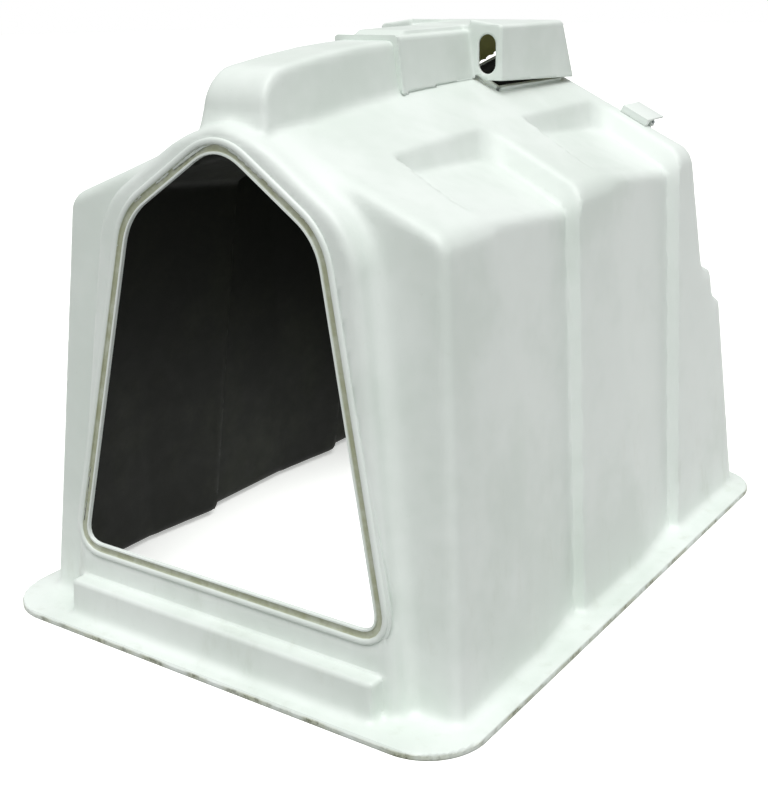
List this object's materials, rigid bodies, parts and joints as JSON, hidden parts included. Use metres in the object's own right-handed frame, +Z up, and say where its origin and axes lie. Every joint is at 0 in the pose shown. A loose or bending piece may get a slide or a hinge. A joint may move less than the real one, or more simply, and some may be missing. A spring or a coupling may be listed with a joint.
{
  "type": "calf hutch",
  "caption": "Gabled plastic calf hutch with a raised door frame, ribbed sides, ground flange, sliding ridge vent cap and a hinged rear bedding door.",
  "frame": {"origin": "centre of the ground flange, on the ground", "axes": "doorway faces -Y, +Y to the rear, +Z up, left and right sides mirror about X = 0"},
  "size_m": [1.22, 1.65, 1.262],
  "materials": {
    "white_sheet": "satin off-white thermoformed sheet",
    "dark_fitting": "satin dark moulded plastic",
    "screw_steel": "zinc-plated steel"
  },
  "bodies": {
    "hutch": {"shell": "white_sheet", "hinge_bracket_left": "white_sheet", "hinge_bracket_screw_left": "screw_steel", "hinge_pin_left": "screw_steel", "latch_post_left": "dark_fitting", "latch_screw_left": "screw_steel", "hinge_bracket_right": "white_sheet", "hinge_bracket_screw_right": "screw_steel", "hinge_pin_right": "screw_steel", "latch_post_right": "dark_fitting", "latch_screw_right": "screw_steel"},
    "vent_cap": {"ridge_vent_cap": "white_sheet"},
    "rear_door": {"rear_door": "white_sheet"},
    "latch_left": {"latch_button_left": "dark_fitting"},
    "latch_right": {"latch_button_right": "dark_fitting"}
  },
  "joints": [
    {"name": "vent_cap_slide", "type": "slide", "parent": "hutch", "child": "vent_cap", "axis": [0, -1, 0], "range_m": [0, 0.24]},
    {"name": "rear_door_hinge", "type": "hinge", "parent": "hutch", "child": "rear_door", "pos_m": [0, 0.565, 1], "axis": [1, 0, 0], "range_deg": [0, 110]},
    {"name": "latch_left_turn", "type": "hinge", "parent": "hutch", "child": "latch_left", "pos_m": [-0.19, 0.5715, 0.6719], "axis": [0, 0.9874, 0.158], "range_deg": [0, 90]},
    {"name": "latch_right_turn", "type": "hinge", "parent": "hutch", "child": "latch_right", "pos_m": [0.19, 0.5715, 0.6719], "axis": [0, -0.9874, -0.158], "range_deg": [0, 90]}
  ]
}
